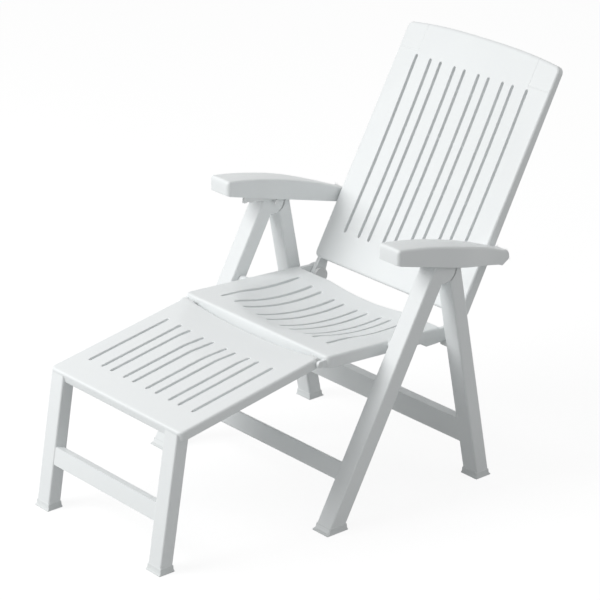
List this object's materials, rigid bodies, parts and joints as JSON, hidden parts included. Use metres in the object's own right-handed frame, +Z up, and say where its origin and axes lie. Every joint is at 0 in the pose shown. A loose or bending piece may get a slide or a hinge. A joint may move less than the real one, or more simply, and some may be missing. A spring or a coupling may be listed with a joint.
{
  "type": "deck chair",
  "caption": "Folding deck chair with a slatted seat, a reclining back, armrests and a footrest on its own legs.",
  "frame": {"origin": "centre of the part's footprint, on the floor", "axes": "+Z up, -Y towards the footrest, +X to the sitter's left"},
  "size_m": [0.668, 1.19, 0.9296],
  "materials": {
    "resin": "satin",
    "foot_caps": "matt",
    "pins": "satin",
    "bearings": "satin"
  },
  "bodies": {
    "front_frame": {"front_leg_left": "resin", "front_leg_right": "resin", "front_stretcher": "resin", "front_glide_left": "foot_caps", "front_glide_right": "foot_caps", "apex_pin_left": "pins", "apex_pin_right": "pins", "seat_pin_left": "pins", "seat_pin_right": "pins"},
    "rear_frame": {"rear_leg_left": "resin", "rear_leg_right": "resin", "rear_stretcher": "resin", "rear_glide_left": "foot_caps", "rear_glide_right": "foot_caps", "seat_peg_left": "pins", "seat_peg_right": "pins"},
    "seat": {"seat": "resin"},
    "back_hinge": {"back_hinge_pin_left": "pins", "back_hinge_pin_right": "pins"},
    "back": {"back": "resin"},
    "arm_pivot": {"arm_pin_left": "pins", "arm_pin_right": "pins"},
    "arm_bushes": {"arm_bush_left": "bearings", "arm_bush_right": "bearings"},
    "armrest_left": {"armrest_left": "resin", "rack_left": "bearings"},
    "armrest_right": {"armrest_right": "resin", "rack_right": "bearings"},
    "footrest_pivot": {"footrest_pin_left": "pins", "footrest_pin_right": "pins"},
    "footrest": {"footrest_panel": "resin", "footrest_leg_left": "resin", "footrest_leg_right": "resin", "footrest_stretcher": "resin", "footrest_hook_left": "bearings", "footrest_hook_right": "bearings", "footrest_glide_left": "foot_caps", "footrest_glide_right": "foot_caps"}
  },
  "joints": [
    {"name": "seat_fold", "type": "hinge", "parent": "front_frame", "child": "seat", "pos_m": [0, 0.05443, 0.378], "axis": [1, 0, 0], "range_deg": [0, 58]},
    {"name": "rear_leg_fold", "type": "hinge", "parent": "front_frame", "child": "rear_frame", "pos_m": [0, 0.15843, 0.553], "axis": [1, 0, 0], "range_deg": [-38.86, 0]},
    {"name": "back_level", "type": "hinge", "parent": "seat", "child": "back_hinge", "pos_m": [0, 0.26243, 0.35], "axis": [1, 0, 0], "range_deg": [-58, 0]},
    {"name": "back_recline", "type": "hinge", "parent": "back_hinge", "child": "back", "pos_m": [0, 0.26243, 0.35], "axis": [1, 0, 0], "range_deg": [-30, 0]},
    {"name": "arm_level", "type": "hinge", "parent": "back", "child": "arm_pivot", "pos_m": [0, 0.36643, 0.525], "axis": [1, 0, 0], "range_deg": [0, 17.49]},
    {"name": "arm_fold", "type": "hinge", "parent": "arm_pivot", "child": "arm_bushes", "pos_m": [0, 0.36643, 0.525], "axis": [1, 0, 0], "range_deg": [0, 58]},
    {"name": "armrest_left_lift", "type": "hinge", "parent": "arm_bushes", "child": "armrest_left", "pos_m": [0, 0.36643, 0.525], "axis": [1, 0, 0], "range_deg": [-70, 0]},
    {"name": "armrest_right_lift", "type": "hinge", "parent": "arm_bushes", "child": "armrest_right", "pos_m": [0, 0.36643, 0.525], "axis": [1, 0, 0], "range_deg": [-70, 0]},
    {"name": "footrest_fold", "type": "hinge", "parent": "seat", "child": "footrest_pivot", "pos_m": [0, -0.14657, 0.38247], "axis": [1, 0, 0], "range_deg": [-95.12, 0]},
    {"name": "footrest_lift", "type": "hinge", "parent": "footrest_pivot", "child": "footrest", "pos_m": [0, -0.14657, 0.38247], "axis": [1, 0, 0], "range_deg": [-90, 0]}
  ],
  "couplings": [
    {"joint": "rear_leg_fold", "follows": "seat_fold", "ratio": -0.67},
    {"joint": "back_level", "follows": "seat_fold", "ratio": -1},
    {"joint": "arm_level", "follows": "back_recline", "ratio": -0.583},
    {"joint": "arm_fold", "follows": "seat_fold", "ratio": 1},
    {"joint": "footrest_fold", "follows": "seat_fold", "ratio": -1.64}
  ]
}
